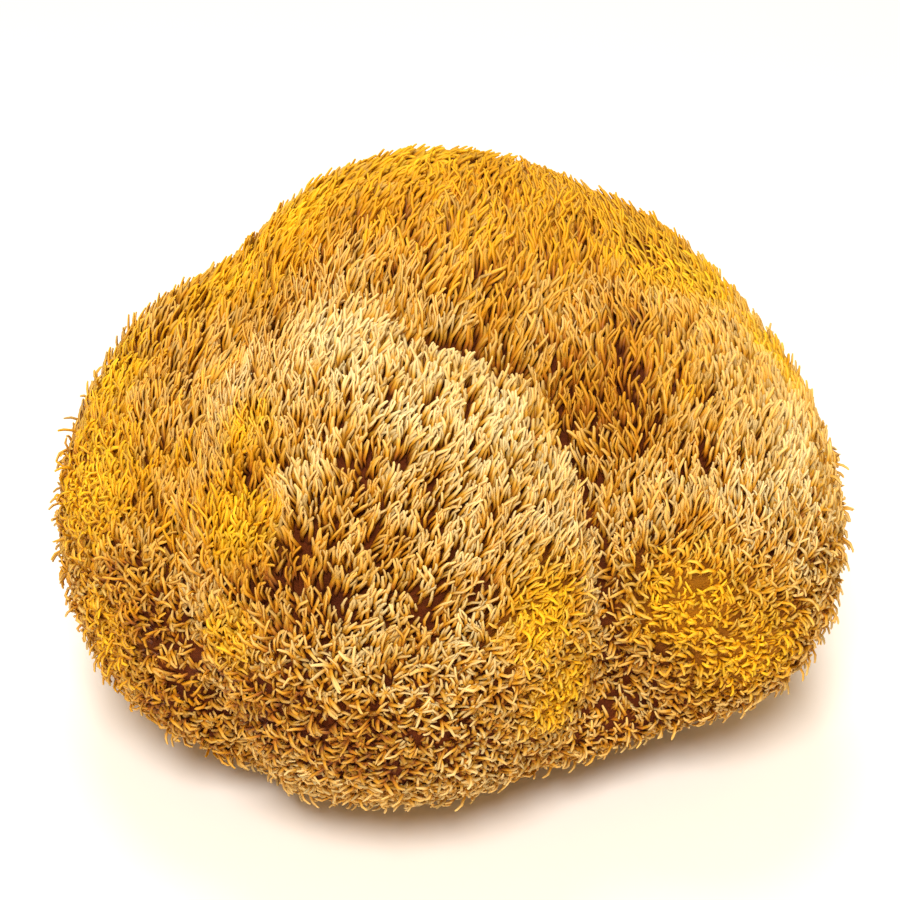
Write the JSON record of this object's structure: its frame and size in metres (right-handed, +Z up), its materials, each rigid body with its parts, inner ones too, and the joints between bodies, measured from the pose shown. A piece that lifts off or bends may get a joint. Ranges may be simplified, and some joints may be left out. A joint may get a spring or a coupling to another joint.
{
  "type": "dried lion's mane mushroom",
  "caption": "Dried lion's mane mushroom: a rounded head of grown-together lobes covered all over in soft combed spines, resting on its cut stem face.",
  "frame": {"origin": "centre of the bounding box's footprint, on the surface the mushroom rests on", "axes": "+Z up from the cut stem face; +X along the longest side, towards the right-hand lobe; +Y towards the back, away from the front lobe"},
  "size_m": [0.089, 0.0732, 0.064],
  "materials": {
    "dried_spines": "dry, matte, soft; pale cream tips over amber roots"
  },
  "bodies": {
    "root": {"mushroom": "dried_spines"}
  },
  "joints": []
}
